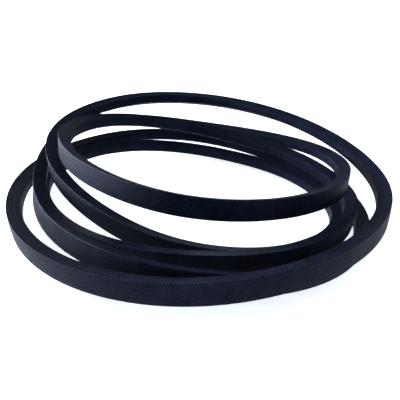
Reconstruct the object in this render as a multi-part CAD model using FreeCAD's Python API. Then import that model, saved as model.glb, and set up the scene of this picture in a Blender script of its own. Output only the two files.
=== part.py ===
import FreeCAD, Part
import math
import os

# An endless wrapped V belt, light-duty A (4L) section, lying coiled in five loops.
# All lengths are in millimetres and all angles in degrees. +Z is up and the belt stands on Z = 0.

# Section across the belt
TOP_WIDTH = 13.0
DEPTH = 8.0
WEDGE_ANGLE = 40.0
EDGE_CHAMFER = 0.7

# Layers, measured inwards from the outer face
PLY_THICKNESS = 0.5
GUM_TOP = 2.4
CORD_LINE = 3.0
GUM_BOTTOM = 3.6
CORD_DIAMETER = 1.0
CORD_PITCH = 1.2
CORD_TURNS = 7
CORD_SIDES = 8

# Route of the middle of the outer face, as control stations of a smooth closed curve. The stations
# are evenly spread in direction round a pole, from the front (-Y) anticlockwise seen from above.
# Each is (radius from the pole, height, lean), where a positive lean raises the outer face's side.
POLE_X = -6.5
POLE_Y = -1.4
LIFT = -0.07
LOOPS = [
    [(143, 13, -4), (144, 22, 1), (144, 28, 5), (141, 34, 8), (141, 44, 6), (143, 54, 3),
     (143, 59, 1), (136, 57, -1), (123, 47, -1), (109, 37, -1), (99, 28, -5), (96, 19, -7)],
    [(105, 11, -5), (116, 9, -3), (121, 8, -1), (115, 6, 0), (108, 7, 0), (105, 6, 0),
     (110, 8, 0), (117, 11, 0), (121, 11, 0), (117, 8, 0), (109, 6, 0), (108, 7, -2)],
    [(118, 14, -4), (129, 18, -5), (126, 20, -4), (121, 17, -2), (118, 20, 0), (117, 23, 1),
     (114, 30, 2), (111, 39, 2), (106, 44, 3), (98, 45, 4), (93, 43, 4), (92, 39, 2)],
    [(95, 34, 0), (102, 33, 0), (112, 33, 3), (123, 32, 3), (134, 29, 1), (142, 25, -1),
     (146, 25, -2), (144, 34, -2), (131, 35, 1), (114, 25, 5), (111, 19, 8), (123, 17, 6)],
    [(133, 14, 3), (136, 10, 1), (136, 7, 0), (132, 6, 0), (131, 7, 0), (132, 11, 1),
     (136, 17, 0), (137, 18, 0), (134, 13, -1), (128, 9, -3), (128, 7, -5), (136, 8, -7)],
]
SAMPLES_PER_STATION = 2
TANGENT_STEP = 0.01

HALF_WEDGE = math.radians(WEDGE_ANGLE / 2)
STATIONS = [station for loop in LOOPS for station in loop]
STATION_ANGLE = 2 * math.pi * len(LOOPS) / len(STATIONS)


def half_width(depth, inset=0.0):
    """Half the width at a depth below the outer face, drawn in from the flank by inset."""
    return TOP_WIDTH / 2 - depth * math.tan(HALF_WEDGE) - inset / math.cos(HALF_WEDGE)


def wedge(inset, top, bottom):
    """The four corners of a layer, as (depth, across) points."""
    wide = half_width(top, inset)
    narrow = half_width(bottom, inset)
    return [(top, wide), (bottom, narrow), (bottom, -narrow), (top, -wide)]


def chamfered(corners, size):
    """The outline with each corner cut back by size along both of its sides."""
    outline = []
    for index, corner in enumerate(corners):
        before = corners[index - 1]
        after = corners[(index + 1) % len(corners)]
        outline.append(step_towards(corner, before, size))
        outline.append(step_towards(corner, after, size))
    return outline


def step_towards(start, goal, size):
    """The point at a distance of size from start on the way to goal."""
    reach = math.dist(start, goal)
    share = size / reach
    return (start[0] + (goal[0] - start[0]) * share, start[1] + (goal[1] - start[1]) * share)


def cord_centres():
    """Where the turns of the cord cross the section."""
    first = -CORD_PITCH * (CORD_TURNS - 1) / 2
    return [(CORD_LINE, first + turn * CORD_PITCH) for turn in range(CORD_TURNS)]


def cord_outline(centre):
    """One turn of the cord, as a polygon with corners on the cord line."""
    outline = []
    for side in range(CORD_SIDES):
        angle = 2 * math.pi * side / CORD_SIDES
        depth = centre[0] + CORD_DIAMETER / 2 * math.sin(angle)
        across = centre[1] + CORD_DIAMETER / 2 * math.cos(angle)
        outline.append((depth, across))
    return outline


def bedding(side):
    """The half-round beds of the cord turns in one gum layer: side -1 is above the cord, 1 below."""
    points = []
    for centre in cord_centres():
        for step in range(CORD_SIDES // 2 + 1):
            angle = math.pi * (1 - 2 * step / CORD_SIDES)
            depth = centre[0] + side * CORD_DIAMETER / 2 * math.sin(angle)
            points.append((depth, centre[1] + CORD_DIAMETER / 2 * math.cos(angle)))
    return points


def gum_outline(side):
    """An adhesion gum layer that beds half of every cord turn."""
    inset = 2 * PLY_THICKNESS
    edge = GUM_TOP if side < 0 else GUM_BOTTOM
    at_cord = half_width(CORD_LINE, inset)
    at_edge = half_width(edge, inset)
    beside_cord = [(CORD_LINE, at_cord), (edge, at_edge), (edge, -at_edge), (CORD_LINE, -at_cord)]
    return bedding(side) + beside_cord


def spline_weights(share):
    """Weights of four neighbouring stations in a uniform cubic B-spline."""
    rest = 1 - share
    return [
        rest ** 3 / 6,
        (3 * share ** 3 - 6 * share ** 2 + 4) / 6,
        (3 * rest ** 3 - 6 * rest ** 2 + 4) / 6,
        share ** 3 / 6,
    ]


def route_values(place):
    """Radius, height and lean at a place counted in stations from the start."""
    index = math.floor(place)
    weights = spline_weights(place - index)
    near = [STATIONS[(index - 1 + step) % len(STATIONS)] for step in range(len(weights))]
    return [sum(weight * value for weight, value in zip(weights, values)) for values in zip(*near)]


def route_point(place):
    """The middle of the outer face at a place on the route."""
    radius, height = route_values(place)[:2]
    angle = place * STATION_ANGLE
    x = POLE_X + radius * math.sin(angle)
    y = POLE_Y - radius * math.cos(angle)
    return FreeCAD.Vector(x, y, LIFT + height)


def section_axes(place):
    """Unit vectors outwards through the outer face, and up across the belt."""
    ahead = route_point(place + TANGENT_STEP) - route_point(place - TANGENT_STEP)
    outwards = FreeCAD.Vector(ahead.y, -ahead.x, 0).normalize()
    lean = math.radians(route_values(place)[2])
    up = FreeCAD.Vector(0, 0, 1)
    leaning_out = outwards * math.cos(lean) + up * math.sin(lean)
    leaning_up = up * math.cos(lean) - outwards * math.sin(lean)
    return leaning_out, leaning_up


def corner_curve(corner):
    """The closed line that one corner of a section follows along the whole belt."""
    count = len(STATIONS) * SAMPLES_PER_STATION
    points = []
    for sample in range(count):
        place = sample / SAMPLES_PER_STATION
        outwards, up = section_axes(place)
        points.append(route_point(place) - outwards * corner[0] + up * corner[1])
    curve = Part.BSplineCurve()
    curve.interpolate(Points=points, PeriodicFlag=True, Parameters=[float(i) for i in range(count + 1)])
    return curve.toShape()


def belt_shell(outline):
    """The closed skin of a layer: one ruled face between each two corner lines."""
    edges = [corner_curve(corner) for corner in outline]
    faces = [Part.makeRuledSurface(edges[i - 1], edges[i]) for i in range(len(edges))]
    shell = Part.makeShell(faces)
    shell.sewShape()
    return shell


def belt_solid(outline):
    """A layer of the belt as one endless solid."""
    solid = Part.makeSolid(belt_shell(outline))
    if solid.Volume < 0:
        solid.reverse()
    return solid


def cover_ply(inset):
    """One ply of the wrapped cover: a closed tube of fabric round what lies inside it."""
    outside = wedge(inset, inset, DEPTH - inset)
    if inset == 0:
        outside = chamfered(outside, EDGE_CHAMFER)
    within = inset + PLY_THICKNESS
    inside = wedge(within, within, DEPTH - within)
    return belt_solid(outside).cut(belt_solid(inside))


def tensile_cord():
    """The turns of the load-carrying cord, side by side."""
    return Part.makeCompound([belt_solid(cord_outline(centre)) for centre in cord_centres()])


def save(shape, name):
    """Write one piece of the belt and report its volume."""
    shape.exportStep("parts/" + name + ".step")
    print(name, "volume", round(shape.Volume), "valid", shape.isValid(), "solids", len(shape.Solids))


os.makedirs("parts", exist_ok=True)
CORE = 2 * PLY_THICKNESS
save(cover_ply(0), "outer_cover_ply")
save(cover_ply(PLY_THICKNESS), "inner_cover_ply")
save(belt_solid(wedge(CORE, CORE, GUM_TOP)), "tension_rubber")
save(belt_solid(gum_outline(-1)), "upper_adhesion_gum")
save(tensile_cord(), "tensile_cord")
save(belt_solid(gum_outline(1)), "lower_adhesion_gum")
save(belt_solid(wedge(CORE, GUM_BOTTOM, DEPTH - CORE)), "compression_rubber")
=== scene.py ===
import logging
import math
from dataclasses import dataclass, field
from enum import Enum

import bmesh
import bpy
from mathutils import Matrix, Vector


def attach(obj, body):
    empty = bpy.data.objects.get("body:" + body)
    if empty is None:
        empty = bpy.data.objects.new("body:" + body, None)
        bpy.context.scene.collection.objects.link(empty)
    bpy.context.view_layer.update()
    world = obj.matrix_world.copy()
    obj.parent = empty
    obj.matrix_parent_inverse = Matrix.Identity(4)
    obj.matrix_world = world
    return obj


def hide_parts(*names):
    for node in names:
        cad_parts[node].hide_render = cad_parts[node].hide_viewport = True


# The looks of a long wrapped V belt that lies coiled in five loops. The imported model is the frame. The belt's
# outer cover ply is built anew here as a wrapped tube of bias-woven cloth; the layers under it stay as they are.
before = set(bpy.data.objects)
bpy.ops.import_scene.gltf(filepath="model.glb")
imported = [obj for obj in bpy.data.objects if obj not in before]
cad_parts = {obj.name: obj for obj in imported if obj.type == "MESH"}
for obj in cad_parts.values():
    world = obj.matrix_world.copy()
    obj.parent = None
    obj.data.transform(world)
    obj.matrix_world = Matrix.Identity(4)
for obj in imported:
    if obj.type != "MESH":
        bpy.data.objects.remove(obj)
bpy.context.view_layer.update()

MM = 0.001
WRAP_UV = "wrap"
EDGE_LAYER = "edge"
Station = tuple[int, int, int]
Level = float | tuple[float, ...] | bpy.types.NodeSocket

log = logging.getLogger("v_belt")


class Side(Enum):
    """Which face of the section a stretch of its outline belongs to."""

    OUTER = "outer face"
    FLANK = "flank"
    BASE = "base"


class Lay(Enum):
    """Where a cloth's threads take their directions from."""

    WRAP = "the piece's own wrap map"
    COIL = "the direction round the coil, and the height"


# ---------------------------------------------------------------------------------------------- the belt's shape


@dataclass
class CoilRoute:
    """The closed line that the middle of the belt's outer face follows round the coil, in millimetres and degrees.

    Each station is (radius from the pole, height, lean). The stations are evenly spread in direction round the
    pole, from the front (-Y) anticlockwise seen from above, and a positive lean raises the outer face's side.
    """

    pole_x: float = -6.5
    pole_y: float = -1.4
    lift: float = -0.07
    tangent_step: float = 0.01
    loops: tuple[tuple[Station, ...], ...] = (
        ((143, 13, -4), (144, 22, 1), (144, 28, 5), (141, 34, 8), (141, 44, 6), (143, 54, 3),
         (143, 59, 1), (136, 57, -1), (123, 47, -1), (109, 37, -1), (99, 28, -5), (96, 19, -7)),
        ((105, 11, -5), (116, 9, -3), (121, 8, -1), (115, 6, 0), (108, 7, 0), (105, 6, 0),
         (110, 8, 0), (117, 11, 0), (121, 11, 0), (117, 8, 0), (109, 6, 0), (108, 7, -2)),
        ((118, 14, -4), (129, 18, -5), (126, 20, -4), (121, 17, -2), (118, 20, 0), (117, 23, 1),
         (114, 30, 2), (111, 39, 2), (106, 44, 3), (98, 45, 4), (93, 43, 4), (92, 39, 2)),
        ((95, 34, 0), (102, 33, 0), (112, 33, 3), (123, 32, 3), (134, 29, 1), (142, 25, -1),
         (146, 25, -2), (144, 34, -2), (131, 35, 1), (114, 25, 5), (111, 19, 8), (123, 17, 6)),
        ((133, 14, 3), (136, 10, 1), (136, 7, 0), (132, 6, 0), (131, 7, 0), (132, 11, 1),
         (136, 17, 0), (137, 18, 0), (134, 13, -1), (128, 9, -3), (128, 7, -5), (136, 8, -7)),
    )
    stations: list[Station] = field(init=False)
    station_angle: float = field(init=False)

    def __post_init__(self) -> None:
        """Lays the loops' stations end to end."""
        self.stations = [station for loop in self.loops for station in loop]
        self.station_angle = 2 * math.pi * len(self.loops) / len(self.stations)

    def values(self, place: float) -> list[float]:
        """Radius, height and lean at a place on the route, by a uniform cubic B-spline.

        Args:
            place: how far along the route, counted in stations from its start.

        Returns:
            The radius and height in millimetres, and the lean in degrees.
        """
        index = math.floor(place)
        share = place - index
        rest = 1 - share
        weights = (
            rest**3 / 6,
            (3 * share**3 - 6 * share**2 + 4) / 6,
            (3 * rest**3 - 6 * rest**2 + 4) / 6,
            share**3 / 6,
        )
        near = [self.stations[(index - 1 + step) % len(self.stations)] for step in range(len(weights))]
        return [sum(weight * value for weight, value in zip(weights, values)) for values in zip(*near)]

    def point(self, place: float) -> Vector:
        """The middle of the outer face at a place on the route, in metres."""
        radius, height = self.values(place)[:2]
        angle = place * self.station_angle
        x = self.pole_x + radius * math.sin(angle)
        y = self.pole_y - radius * math.cos(angle)
        return Vector((x, y, self.lift + height)) * MM

    def section_frame(self, place: float) -> Matrix:
        """The section's own axes at a place on the route.

        Args:
            place: how far along the route, counted in stations from its start.

        Returns:
            A matrix with X out through the outer face, Y up across the belt and Z along it.
        """
        ahead = self.point(place + self.tangent_step) - self.point(place - self.tangent_step)
        outwards = Vector((ahead.y, -ahead.x, 0)).normalized()
        up = Vector((0, 0, 1))
        lean = math.radians(self.values(place)[2])
        leaning_out = outwards * math.cos(lean) + up * math.sin(lean)
        leaning_up = up * math.cos(lean) - outwards * math.sin(lean)
        axes = Matrix((leaning_out, leaning_up, leaning_out.cross(leaning_up))).transposed()
        return Matrix.Translation(self.point(place)) @ axes.to_4x4()

    def places(self, rings_per_station: int) -> list[float]:
        """Evenly spaced places round the whole route, with the start again at the end."""
        count = len(self.stations) * rings_per_station
        return [ring / rings_per_station for ring in range(count + 1)]

    def distances(self, places: list[float]) -> list[float]:
        """How far along the outer face each place is, in metres."""
        points = [self.point(place) for place in places]
        reached = [0.0]
        for before, after in zip(points, points[1:]):
            reached.append(reached[-1] + (after - before).length)
        return reached


@dataclass
class BeltSection:
    """The wedge section of the belt, in millimetres and degrees, with X out through the outer face."""

    top_width: float = 13.0
    depth: float = 8.0
    wedge_angle: float = 40.0
    ply_thickness: float = 0.5
    corner_cut: float = 0.42
    corner_segments: int = 4
    face_cuts: int = 5
    crown: float = 0.14
    hollow: float = 0.16
    lap_height: float = 0.22
    lap_width: float = 2.6
    lap_slope: float = 0.16

    def half_width(self, depth: float, inset: float = 0.0) -> float:
        """Half the width at a depth below the outer face, drawn in from the flank by inset."""
        half_wedge = math.radians(self.wedge_angle / 2)
        return self.top_width / 2 - depth * math.tan(half_wedge) - inset / math.cos(half_wedge)

    def corners(self, inset: float) -> list[Vector]:
        """The four sharp corners of the wedge drawn in by inset, in metres."""
        bottom = self.depth - inset
        wide = self.half_width(inset, inset)
        narrow = self.half_width(bottom, inset)
        across = ((inset, wide), (bottom, narrow), (bottom, -narrow), (inset, -wide))
        return [Vector((-depth, y, 0)) * MM for depth, y in across]

    def side_of(self, point: Vector) -> Side:
        """The face of the section that a point of its outline lies on."""
        depth = -point.x / MM
        if depth < self.corner_cut / 2:
            return Side.OUTER
        if depth > self.depth - self.corner_cut / 2:
            return Side.BASE
        return Side.FLANK

    def draw(self, mesh: bmesh.types.BMesh, inset: float, cut: float) -> bmesh.types.BMFace:
        """Draws the wedge as one flat face with rounded corners.

        Args:
            mesh: the mesh to draw in.
            inset: how far inside the belt's skin the outline lies, in millimetres.
            cut: how far from each corner its rounding starts, in millimetres.

        Returns:
            The face.
        """
        corners = [mesh.verts.new(corner) for corner in self.corners(inset)]
        mesh.faces.new(corners)
        bmesh.ops.bevel(
            mesh, geom=corners, offset=cut * MM, offset_type="OFFSET", segments=self.corner_segments,
            profile=0.5, affect="VERTICES", material=-1,
        )
        flats = [edge for edge in mesh.edges if edge.calc_length() > cut * MM]
        bmesh.ops.subdivide_edges(mesh, edges=flats, cuts=self.face_cuts)
        mesh.faces.ensure_lookup_table()
        return mesh.faces[0]

    def shape_skin(self, face: bmesh.types.BMFace) -> None:
        """Gives the drawn outline its crowned outer face, hollow flanks and the raised lap of the cloth.

        Args:
            face: the flat face whose corners are moved.
        """
        for vertex in face.verts:
            spot = vertex.co
            side = self.side_of(spot)
            if side is Side.OUTER:
                spot.x += self.crown * MM * (1 - (spot.y / (self.top_width / 2 * MM)) ** 2)
            if side is Side.FLANK:
                share = -spot.x / (self.depth * MM)
                spot.y -= math.copysign(self.hollow * MM * 4 * share * (1 - share), spot.y)
        base = sorted((v for v in face.verts if self.side_of(v.co) is Side.BASE), key=lambda v: v.co.y)
        middle = min(base, key=lambda v: abs(v.co.y))
        beside = base[base.index(middle) - 1]
        beside.co.y = middle.co.y - self.lap_slope * MM
        for vertex in base:
            if middle.co.y <= vertex.co.y <= self.lap_width * MM:
                share = (vertex.co.y - middle.co.y) / (self.lap_width * MM)
                vertex.co.x -= self.lap_height * MM * (1 - share)


@dataclass
class WrappedCover:
    """The outermost ply: a tube of rubberised cloth wrapped round the section and lapped on the base."""

    section: BeltSection
    route: CoilRoute
    rings_per_station: int = 12
    clearance: float = 0.02
    wear_reach: float = 1.3
    waves: tuple[tuple[int, float, float], ...] = ((7, 0.0030, 0.3), (19, 0.0025, 1.9), (53, 0.0015, 4.1))
    perimeter: float = 0.0
    length: float = 0.0

    def swelling(self, share: float) -> float:
        """How far hand wrapping and curing leave the section over or under its size, as a scale."""
        return 1 + sum(size * math.sin(2 * math.pi * turns * share + shift) for turns, size, shift in self.waves)

    def mark_round(self, mesh: bmesh.types.BMesh, face: bmesh.types.BMFace) -> None:
        """Notes on each corner of the outline how far round the section it is, and how near a belt edge.

        Args:
            mesh: the mesh that holds the outline.
            face: the outline's face.
        """
        around = mesh.verts.layers.float.new("around")
        edge = mesh.verts.layers.float.new(EDGE_LAYER)
        outline = list(face.verts)
        base = [v for v in outline if self.section.side_of(v.co) is Side.BASE]
        start = outline.index(min(base, key=lambda v: abs(v.co.y)))
        outline = outline[start:] + outline[:start]
        reached = 0.0
        for vertex, following in zip(outline, outline[1:] + outline[:1]):
            vertex[around] = reached
            reached += (following.co - vertex.co).length
        reach = self.section.corner_cut * MM * self.wear_reach
        for vertex in outline:
            vertex[around] /= reached
            nearest = min((vertex.co - corner).length for corner in self.section.corners(0))
            vertex[edge] = max(0.0, 1 - nearest / reach)
        self.perimeter = reached

    def sweep(self, mesh: bmesh.types.BMesh, ring: list[bmesh.types.BMEdge], with_map: bool) -> None:
        """Extrudes an outline along the whole route and welds its end to its start.

        Args:
            mesh: the mesh that holds the outline.
            ring: the outline's edges, drawn round the origin.
            with_map: whether to lay the wrap map on the new faces.
        """
        places = self.route.places(self.rings_per_station)
        distances = self.route.distances(places)
        self.length = distances[-1]
        shares = [distance / self.length for distance in distances]
        stands = []
        for place, share in zip(places, shares):
            scale = self.swelling(share)
            stands.append(self.route.section_frame(place) @ Matrix.Diagonal((scale, scale, 1, 1)))
        first = list({vertex for edge in ring for vertex in edge.verts})
        bmesh.ops.transform(mesh, matrix=stands[0], verts=first)
        for index in range(1, len(stands)):
            made = bmesh.ops.extrude_edge_only(mesh, edges=ring)["geom"]
            moved = [part for part in made if isinstance(part, bmesh.types.BMVert)]
            faces = [part for part in made if isinstance(part, bmesh.types.BMFace)]
            ring = [part for part in made if isinstance(part, bmesh.types.BMEdge) and part.is_boundary]
            step = stands[index] @ stands[index - 1].inverted()
            bmesh.ops.transform(mesh, matrix=step, verts=moved)
            if with_map:
                self.lay_map(mesh, faces, set(moved), shares[index - 1], shares[index])
        bmesh.ops.remove_doubles(mesh, verts=first + moved, dist=self.clearance * MM)

    def lay_map(
        self,
        mesh: bmesh.types.BMesh,
        faces: list[bmesh.types.BMFace],
        ahead: set[bmesh.types.BMVert],
        share: float,
        next_share: float,
    ) -> None:
        """Lays the wrap map on one band of faces: U along the belt and V round the section, each from 0 to 1.

        Args:
            mesh: the mesh that holds the faces.
            faces: the band's faces.
            ahead: the vertices on the band's far side.
            share: how far along the belt its near side is.
            next_share: how far along the belt its far side is.
        """
        around = mesh.verts.layers.float["around"]
        wrap = mesh.loops.layers.uv.verify()
        for face in faces:
            crosses_lap = max(vertex[around] for vertex in face.verts) > 0.9
            for loop in face.loops:
                turn = loop.vert[around]
                if crosses_lap and turn < 0.1:
                    turn = 1.0
                loop[wrap].uv = (next_share if loop.vert in ahead else share, turn)

    def build(self) -> bpy.types.Object:
        """Builds the cover's skin and the wall inside it.

        Returns:
            The finished piece, riding on the belt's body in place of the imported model's outer ply.
        """
        mesh = bmesh.new()
        mesh.loops.layers.uv.new(WRAP_UV)
        face = self.section.draw(mesh, 0.0, self.section.corner_cut)
        self.section.shape_skin(face)
        self.mark_round(mesh, face)
        bmesh.ops.delete(mesh, geom=[face], context="FACES_ONLY")
        self.sweep(mesh, mesh.edges[:], with_map=True)
        bmesh.ops.recalc_face_normals(mesh, faces=mesh.faces[:])
        self.add_wall(mesh)
        for face in mesh.faces:
            face.smooth = True
        data = bpy.data.meshes.new("wrapped_cover")
        mesh.to_mesh(data)
        mesh.free()
        cover = bpy.data.objects.new("wrapped_cover", data)
        bpy.context.scene.collection.objects.link(cover)
        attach(cover, "root")
        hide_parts("outer_cover_ply")
        return cover

    def add_wall(self, skin: bmesh.types.BMesh) -> None:
        """Adds the cloth's inner side, which faces the layers under it.

        Args:
            skin: the cover's finished skin.
        """
        wall = bmesh.new()
        inset = self.section.ply_thickness - self.clearance
        face = self.section.draw(wall, inset, inset / 2)
        bmesh.ops.delete(wall, geom=[face], context="FACES_ONLY")
        self.sweep(wall, wall.edges[:], with_map=False)
        bmesh.ops.recalc_face_normals(wall, faces=wall.faces[:])
        bmesh.ops.reverse_faces(wall, faces=wall.faces[:])
        data = bpy.data.meshes.new("cover_wall")
        wall.to_mesh(data)
        wall.free()
        skin.from_mesh(data)
        bpy.data.meshes.remove(data)


# ------------------------------------------------------------------------------------------------- the finishes


class Recipe:
    """A material's nodes, added by short calls that hand back the socket they end in."""

    def __init__(self, name: str) -> None:
        """Starts a material.

        Args:
            name: the material's name.
        """
        self.material = bpy.data.materials.new(name)
        self.material.use_nodes = True
        self.tree = self.material.node_tree
        self.shader = self.tree.nodes["Principled BSDF"]

    def node(self, kind: str, inputs: dict[str | int, Level] | None = None, **settings: object) -> bpy.types.Node:
        """Adds a node.

        Args:
            kind: the node's type name.
            inputs: values or sockets for its inputs, by name or number.
            settings: its own settings.

        Returns:
            The node.
        """
        made = self.tree.nodes.new(kind)
        for key, value in settings.items():
            setattr(made, key, value)
        for key, value in (inputs or {}).items():
            self.feed(made.inputs[key], value)
        return made

    def feed(self, socket: bpy.types.NodeSocket, value: Level) -> None:
        """Links a socket to an input, or sets the input to a plain value."""
        if isinstance(value, bpy.types.NodeSocket):
            self.tree.links.new(value, socket)
        else:
            socket.default_value = value

    def math(self, operation: str, first: Level, second: Level = 0.0, third: Level = 0.0) -> bpy.types.NodeSocket:
        """One step of arithmetic on values."""
        inputs = {0: first, 1: second, 2: third}
        return self.node("ShaderNodeMath", inputs, operation=operation).outputs[0]

    def span(self, value: Level, low: float, high: float, to_low: float, to_high: float) -> bpy.types.NodeSocket:
        """A value's place between low and high, held and eased, as a place between two other values."""
        inputs = {"Value": value, "From Min": low, "From Max": high, "To Min": to_low, "To Max": to_high}
        return self.node("ShaderNodeMapRange", inputs, interpolation_type="SMOOTHSTEP").outputs["Result"]

    def noise(self, place: Level, scale: float, detail: float, roughness: float = 0.5) -> bpy.types.NodeSocket:
        """Cloudy noise from 0 to 1."""
        inputs = {"Vector": place, "Scale": scale, "Detail": detail, "Roughness": roughness}
        return self.node("ShaderNodeTexNoise", inputs).outputs["Fac"]

    def specks(self, place: Level, scale: float) -> bpy.types.NodeSocket:
        """The distance to the nearest of many scattered points."""
        return self.node("ShaderNodeTexVoronoi", {"Vector": place, "Scale": scale}).outputs["Distance"]

    def tint(self, share: Level, low: Level, high: Level) -> bpy.types.NodeSocket:
        """A colour between two colours."""
        inputs = {"Factor": share, 6: low, 7: high}
        return self.node("ShaderNodeMix", inputs, data_type="RGBA").outputs[2]

    def relief(self, height: Level, depth: float) -> None:
        """Presses a height pattern into the surface, over whatever is pressed in already.

        Args:
            height: the pattern, from 0 to 1.
            depth: how deep it is, in millimetres.
        """
        bump = self.node("ShaderNodeBump", {"Height": height, "Distance": depth * MM})
        normal = self.shader.inputs["Normal"]
        if normal.is_linked:
            self.tree.links.new(normal.links[0].from_socket, bump.inputs["Normal"])
        self.tree.links.new(bump.outputs["Normal"], normal)

    def place(self) -> bpy.types.NodeSocket:
        """The place on the object, in metres."""
        return self.node("ShaderNodeTexCoord").outputs["Object"]

    def set_shader(self, **values: Level) -> None:
        """Sets the surface's own inputs, named with underscores for spaces."""
        for key, value in values.items():
            self.feed(self.shader.inputs[key.replace("_", " ")], value)


def coil_directions(recipe: Recipe, route: CoilRoute) -> tuple[bpy.types.NodeSocket, bpy.types.NodeSocket]:
    """How far round the coil and how far up a point is, for layers that have no map of their own.

    Args:
        recipe: the material being made.
        route: the belt's route, which gives the pole.

    Returns:
        The distance round the coil and the height, in metres.
    """
    parts = recipe.node("ShaderNodeSeparateXYZ", {0: recipe.place()})
    east = recipe.math("SUBTRACT", parts.outputs["X"], route.pole_x * MM)
    north = recipe.math("SUBTRACT", parts.outputs["Y"], route.pole_y * MM)
    mean_radius = sum(station[0] for station in route.stations) / len(route.stations) * MM
    turn = recipe.math("ARCTAN2", east, north)
    return recipe.math("MULTIPLY", turn, mean_radius), parts.outputs["Z"]


@dataclass(frozen=True)
class WovenCloth:
    """Plain-woven cotton and polyester cloth, cut on the bias and rubbed full of black rubber."""

    name: str
    lay: Lay
    rubber: tuple[float, float, float, float]
    thread: tuple[float, float, float, float]
    bloom: tuple[float, float, float, float]
    thread_pitch: float = 1.3
    thread_slant: float = 60.0
    thread_relief: float = 0.42
    roughness: float = 0.38
    refraction: float = 1.1
    gloss_tint: tuple[float, float, float, float] = (0.50, 0.64, 1.0, 1)
    cloud_scale: float = 22
    patch_scale: float = 130
    grain_scale: float = 2600
    dust_scale: float = 420
    dust_tone: tuple[float, float, float, float] = (0.16, 0.17, 0.20, 1)
    splice_count: int = 3
    splice_slant: float = 0.03
    splice_start: float = 0.31
    splice_height: float = 0.2

    def material(self, route: CoilRoute, length: float, perimeter: float) -> bpy.types.Material:
        """Makes the cloth's material.

        Args:
            route: the belt's route.
            length: the belt's length along its outer face, in metres.
            perimeter: the way round its section, in metres.

        Returns:
            The material.
        """
        recipe = Recipe(self.name)
        along, around = self.directions(recipe, route, length, perimeter)
        height = self.weave(recipe, along, around)
        place = recipe.place()
        clouds = recipe.noise(place, self.cloud_scale, 4, 0.6)
        patches = recipe.noise(place, self.patch_scale, 3, 0.55)
        grain = recipe.noise(place, self.grain_scale, 2)
        worn = recipe.math("MULTIPLY", height, recipe.span(patches, 0.3, 0.7, 0.55, 1.0))
        colour = recipe.tint(worn, self.rubber, self.thread)
        colour = recipe.tint(recipe.span(clouds, 0.45, 0.75, 0.0, 0.35), colour, self.bloom)
        if self.lay is Lay.WRAP:
            colour = self.worn_edges(recipe, colour, patches, grain)
            colour = self.lint(recipe, colour, place)
            self.splices(recipe)
        roughness = recipe.span(height, 0.0, 1.0, self.roughness + 0.12, self.roughness)
        roughness = recipe.math("ADD", roughness, recipe.span(clouds, 0.3, 0.7, -0.04, 0.06))
        recipe.set_shader(
            Base_Color=colour, Roughness=roughness, IOR=self.refraction, Specular_Tint=self.gloss_tint,
        )
        recipe.relief(patches, 0.05)
        recipe.relief(grain, 0.02)
        recipe.relief(height, self.thread_relief)
        return recipe.material

    def directions(
        self, recipe: Recipe, route: CoilRoute, length: float, perimeter: float
    ) -> tuple[bpy.types.NodeSocket, bpy.types.NodeSocket]:
        """Counts of threads along the belt and round it, whole numbers of them so that the weave joins up."""
        slant = math.radians(self.thread_slant)
        cell_along = self.thread_pitch * MM / math.sin(slant)
        cell_around = self.thread_pitch * MM / math.cos(slant)
        if self.lay is Lay.COIL:
            along, around = coil_directions(recipe, route)
            return recipe.math("DIVIDE", along, cell_along), recipe.math("DIVIDE", around, cell_around)
        wrap = recipe.node("ShaderNodeUVMap", uv_map=WRAP_UV)
        parts = recipe.node("ShaderNodeSeparateXYZ", {0: wrap.outputs["UV"]})
        along = recipe.math("MULTIPLY", parts.outputs["X"], round(length / cell_along))
        around = recipe.math("MULTIPLY", parts.outputs["Y"], round(perimeter / cell_around))
        return along, around

    def weave(self, recipe: Recipe, along: Level, around: Level) -> bpy.types.NodeSocket:
        """The height of a plain weave whose two sets of threads slant either way across the belt.

        Args:
            recipe: the material being made.
            along: the count of cells along the belt.
            around: the count of cells round the section.

        Returns:
            The height, 0 in the holes between threads and 1 on their crowns.
        """
        warp = recipe.math("ADD", along, around)
        weft = recipe.math("SUBTRACT", along, around)
        warp_rise = self.thread_rise(recipe, warp)
        weft_rise = self.thread_rise(recipe, weft)
        cells = recipe.math("ADD", recipe.math("FLOOR", warp), recipe.math("FLOOR", weft))
        warp_on_top = recipe.math("PINGPONG", cells, 1.0)
        over = recipe.math("MULTIPLY", warp_rise, recipe.math("SQRT", weft_rise))
        under = recipe.math("MULTIPLY", weft_rise, recipe.math("SQRT", warp_rise))
        picked = recipe.math("MULTIPLY", recipe.math("SUBTRACT", over, under), warp_on_top)
        return recipe.math("ADD", under, picked)

    def thread_rise(self, recipe: Recipe, count: Level) -> bpy.types.NodeSocket:
        """The rounded rise of one set of threads, from 0 between them to 1 at their middles."""
        return recipe.math("ABSOLUTE", recipe.math("SINE", recipe.math("MULTIPLY", count, math.pi)))

    def worn_edges(self, recipe: Recipe, colour: Level, patches: Level, grain: Level) -> bpy.types.NodeSocket:
        """Greys the belt's edges where handling has rubbed them."""
        edge = recipe.node("ShaderNodeAttribute", attribute_name=EDGE_LAYER).outputs["Fac"]
        rubbed = recipe.math("MULTIPLY", edge, recipe.span(patches, 0.35, 0.7, 0.1, 0.55))
        rubbed = recipe.math("MULTIPLY", rubbed, recipe.span(grain, 0.3, 0.7, 0.5, 1.0))
        return recipe.tint(rubbed, colour, self.bloom)

    def lint(self, recipe: Recipe, colour: Level, place: Level) -> bpy.types.NodeSocket:
        """Scatters a little pale dust and lint over the cloth."""
        dust = recipe.span(recipe.specks(place, self.dust_scale), 0.03, 0.10, 0.5, 0.0)
        here = recipe.span(recipe.noise(place, 60, 2), 0.55, 0.7, 0.0, 1.0)
        return recipe.tint(recipe.math("MULTIPLY", dust, here), colour, self.dust_tone)

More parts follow.
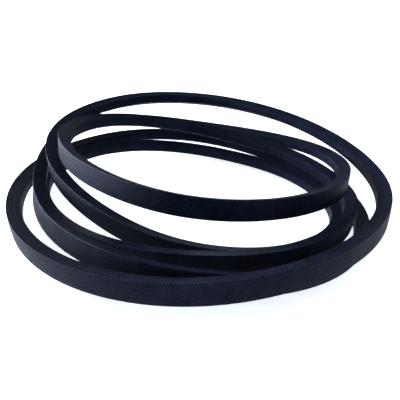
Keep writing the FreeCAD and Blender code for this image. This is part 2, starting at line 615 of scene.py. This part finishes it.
    def splices(self, recipe: Recipe) -> None:
        """Raises a slanting ridge at each splice of the cloth."""
        wrap = recipe.node("ShaderNodeUVMap", uv_map=WRAP_UV)
        parts = recipe.node("ShaderNodeSeparateXYZ", {0: wrap.outputs["UV"]})
        slant = recipe.math("MULTIPLY_ADD", parts.outputs["Y"], self.splice_slant, self.splice_start)
        turns = recipe.math("MULTIPLY_ADD", parts.outputs["X"], self.splice_count, slant)
        phase = recipe.math("FRACT", turns)
        rise = recipe.span(phase, 0.4985, 0.5, 0.0, 1.0)
        fall = recipe.span(phase, 0.5, 0.512, 1.0, 0.0)
        recipe.relief(recipe.math("MULTIPLY", rise, fall), self.splice_height)


@dataclass(frozen=True)
class MouldedRubber:
    """Cured rubber, plain or loaded with chopped fibre that lies across the belt."""

    name: str
    dark: tuple[float, float, float, float]
    pale: tuple[float, float, float, float]
    roughness: float
    fibre: float

    def material(self, route: CoilRoute) -> bpy.types.Material:
        """Makes the rubber's material.

        Args:
            route: the belt's route.

        Returns:
            The material.
        """
        recipe = Recipe(self.name)
        along, up = coil_directions(recipe, route)
        place = recipe.place()
        clouds = recipe.noise(place, 45, 4)
        pores = recipe.specks(place, 1500)
        across = recipe.math("MULTIPLY", up, 0.12)
        streaks = recipe.node("ShaderNodeCombineXYZ", {0: along, 1: across})
        fibres = recipe.span(recipe.noise(streaks.outputs[0], 2200, 2), 0.58, 0.72, 0.0, self.fibre)
        colour = recipe.tint(clouds, self.dark, self.pale)
        colour = recipe.tint(fibres, colour, (0.30, 0.28, 0.24, 1))
        recipe.set_shader(
            Base_Color=colour,
            Roughness=recipe.span(clouds, 0.3, 0.7, self.roughness - 0.06, self.roughness + 0.06),
            Specular_IOR_Level=0.4,
        )
        recipe.relief(pores, 0.05)
        recipe.relief(fibres, 0.04)
        return recipe.material


@dataclass(frozen=True)
class TwistedCord:
    """Treated polyester cord, twisted from three strands."""

    name: str = "polyester_cord"
    # painted shade: this darker colour in the grooves stands in for the shade that falls between the cord's
    # strands
    shaded_groove: tuple[float, float, float, float] = (0.20, 0.15, 0.09, 1)
    crown: tuple[float, float, float, float] = (0.62, 0.55, 0.42, 1)
    lay_length: float = 1.6

    def material(self, route: CoilRoute) -> bpy.types.Material:
        """Makes the cord's material.

        Args:
            route: the belt's route.

        Returns:
            The material.
        """
        recipe = Recipe(self.name)
        along, up = coil_directions(recipe, route)
        twist = recipe.math("DIVIDE", recipe.math("ADD", along, up), self.lay_length * MM)
        strand = recipe.math("ABSOLUTE", recipe.math("SINE", recipe.math("MULTIPLY", twist, math.pi)))
        fuzz = recipe.noise(recipe.place(), 3000, 2)
        shade = recipe.math("MULTIPLY", strand, recipe.span(fuzz, 0.2, 0.8, 0.7, 1.0))
        # The grooves between the strands are painted darker than the crowns: painted shade.
        colour = recipe.tint(shade, self.shaded_groove, self.crown)
        recipe.set_shader(Base_Color=colour, Roughness=recipe.span(strand, 0, 1, 0.7, 0.5), Sheen_Weight=0.2)
        recipe.relief(strand, 0.12)
        recipe.relief(fuzz, 0.03)
        return recipe.material


COVER_CLOTH = WovenCloth(
    name="outer_cover_fabric",
    lay=Lay.WRAP,
    rubber=(0.0004, 0.0006, 0.0015, 1),
    thread=(0.0135, 0.0168, 0.034, 1),
    bloom=(0.016, 0.0185, 0.034, 1),
)
INNER_CLOTH = WovenCloth(
    name="inner_cover_fabric",
    lay=Lay.COIL,
    rubber=(0.010, 0.010, 0.011, 1),
    thread=(0.07, 0.07, 0.075, 1),
    bloom=(0.09, 0.09, 0.09, 1),
    roughness=0.6,
)
TENSION_RUBBER = MouldedRubber("tension_rubber", (0.010, 0.010, 0.011, 1), (0.03, 0.03, 0.032, 1), 0.55, 0.1)
ADHESION_GUM = MouldedRubber("adhesion_gum", (0.035, 0.026, 0.020, 1), (0.07, 0.055, 0.042, 1), 0.4, 0.0)
WEDGE_RUBBER = MouldedRubber("compression_rubber", (0.009, 0.009, 0.010, 1), (0.025, 0.025, 0.027, 1), 0.6, 0.8)


@dataclass
class BeltCore:
    """The layers under the outer cover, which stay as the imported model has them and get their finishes."""

    route: CoilRoute
    length: float
    perimeter: float

    def dress(self) -> None:
        """Gives every layer its material."""
        gum = ADHESION_GUM.material(self.route)
        finishes = {
            "inner_cover_ply": INNER_CLOTH.material(self.route, self.length, self.perimeter),
            "tension_rubber": TENSION_RUBBER.material(self.route),
            "upper_adhesion_gum": gum,
            "tensile_cord": TwistedCord().material(self.route),
            "lower_adhesion_gum": gum,
            "compression_rubber": WEDGE_RUBBER.material(self.route),
        }
        for node, finish in finishes.items():
            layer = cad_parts[node]
            if not layer.material_slots:
                layer.data.materials.append(finish)
            for slot in layer.material_slots:
                slot.material = finish
            log.info("%s: %s", node, finish.name)


# -------------------------------------------------------------------------------------------------- the studio


@dataclass
class SoftBox:
    """A square soft light, in metres and watts, that faces the middle of the coil."""

    name: str
    spot: tuple[float, float, float]
    side: float
    power: float
    tone: tuple[float, float, float] = (0.80, 0.88, 1.0)

    def build(self, goal: Vector) -> bpy.types.Object:
        """Hangs the light.

        Args:
            goal: the point it faces.

        Returns:
            The light.
        """
        lamp = bpy.data.lights.new(self.name, "AREA")
        lamp.shape = "SQUARE"
        lamp.size = self.side
        lamp.energy = self.power
        lamp.color = self.tone
        light = bpy.data.objects.new(self.name, lamp)
        light.location = self.spot
        light.rotation_euler = (goal - light.location).to_track_quat("-Z", "Y").to_euler()
        bpy.context.scene.collection.objects.link(light)
        return light


@dataclass
class Studio:
    """A pale light table, soft light from all round and the camera, in metres and degrees."""

    floor_side: float = 12.0
    floor_drop: float = 0.0004
    floor_tone: tuple[float, float, float, float] = (0.84, 0.88, 0.93, 1)
    floor_glow: float = 0.9
    wall_tone: tuple[float, float, float, float] = (0.80, 0.88, 1.0, 1)
    wall_glow: float = 1.26
    ceiling_glow: float = 0.3
    wall_top: float = 0.12
    ceiling_edge: float = 0.40
    boxes: tuple[SoftBox, ...] = (
        SoftBox("overhead_box", (0.0, 0.0, 1.8), 3.0, 32.0),
        SoftBox("left_box", (-1.0, 0.25, 0.2), 0.4, 50.0),
    )
    camera_goal: tuple[float, float, float] = (0.0037, -0.0014, -0.00366)
    camera_rise: float = 24.0
    camera_range: float = 0.2843
    camera_roll: float = 4.25
    lens: float = 30.97

    def build(self) -> None:
        """Builds the whole studio."""
        self.lay_floor()
        self.light_room()
        for box in self.boxes:
            box.build(Vector(self.camera_goal))
        self.stand_camera()

    def lay_floor(self) -> None:
        """Lays the pale floor under the belt, lit from below so that shadows on it stay faint."""
        mesh = bmesh.new()
        bmesh.ops.create_grid(mesh, x_segments=1, y_segments=1, size=self.floor_side / 2)
        bmesh.ops.translate(mesh, verts=mesh.verts[:], vec=(0, 0, -self.floor_drop))
        data = bpy.data.meshes.new("floor")
        mesh.to_mesh(data)
        mesh.free()
        recipe = Recipe("light_table")
        recipe.set_shader(
            Base_Color=self.floor_tone, Roughness=0.9, Emission_Color=self.floor_tone,
            Emission_Strength=self.floor_glow,
        )
        data.materials.append(recipe.material)
        floor = bpy.data.objects.new("floor", data)
        bpy.context.scene.collection.objects.link(floor)

    def light_room(self) -> None:
        """Gives the room its pale walls, and shows tones as they are."""
        world = bpy.data.worlds.new("room")
        world.use_nodes = True
        tree = world.node_tree
        background = tree.nodes["Background"]
        background.inputs["Color"].default_value = self.wall_tone
        direction = tree.nodes.new("ShaderNodeTexCoord")
        parts = tree.nodes.new("ShaderNodeSeparateXYZ")
        fade = tree.nodes.new("ShaderNodeMapRange")
        fade.interpolation_type = "SMOOTHSTEP"
        limits = {
            "From Min": self.wall_top,
            "From Max": self.ceiling_edge,
            "To Min": self.wall_glow,
            "To Max": self.ceiling_glow,
        }
        for key, value in limits.items():
            fade.inputs[key].default_value = value
        tree.links.new(direction.outputs["Generated"], parts.inputs[0])
        tree.links.new(parts.outputs["Z"], fade.inputs["Value"])
        tree.links.new(fade.outputs["Result"], background.inputs["Strength"])
        scene = bpy.context.scene
        scene.world = world
        scene.view_settings.view_transform = "Standard"

    def stand_camera(self) -> None:
        """Stands the camera low in front of the coil, close to it and a little tilted."""
        rise = math.radians(self.camera_rise)
        back = Vector((0, -math.cos(rise), math.sin(rise)))
        right = Vector((1, 0, 0))
        up = back.cross(right)
        roll = math.radians(self.camera_roll)
        across = right * math.cos(roll) + up * math.sin(roll)
        upward = up * math.cos(roll) - right * math.sin(roll)
        turn = Matrix((across, upward, back)).transposed().to_4x4()
        lens = bpy.data.cameras.new("camera")
        lens.lens = self.lens
        lens.clip_start = 0.01
        camera = bpy.data.objects.new("camera", lens)
        camera.matrix_world = Matrix.Translation(Vector(self.camera_goal) + back * self.camera_range) @ turn
        bpy.context.scene.collection.objects.link(camera)
        bpy.context.scene.camera = camera


def main() -> None:
    """Builds the belt's looks and the studio round it."""
    logging.basicConfig(level=logging.INFO, format="%(name)s: %(message)s")
    route = CoilRoute()
    cover = WrappedCover(BeltSection(), route)
    piece = cover.build()
    piece.data.materials.append(COVER_CLOTH.material(route, cover.length, cover.perimeter))
    log.info("%s: %d faces, %.3f m long", piece.name, len(piece.data.polygons), cover.length)
    BeltCore(route, cover.length, cover.perimeter).dress()
    Studio().build()
    log.info("studio: floor, lights and camera")


if __name__ == "__main__":
    main()
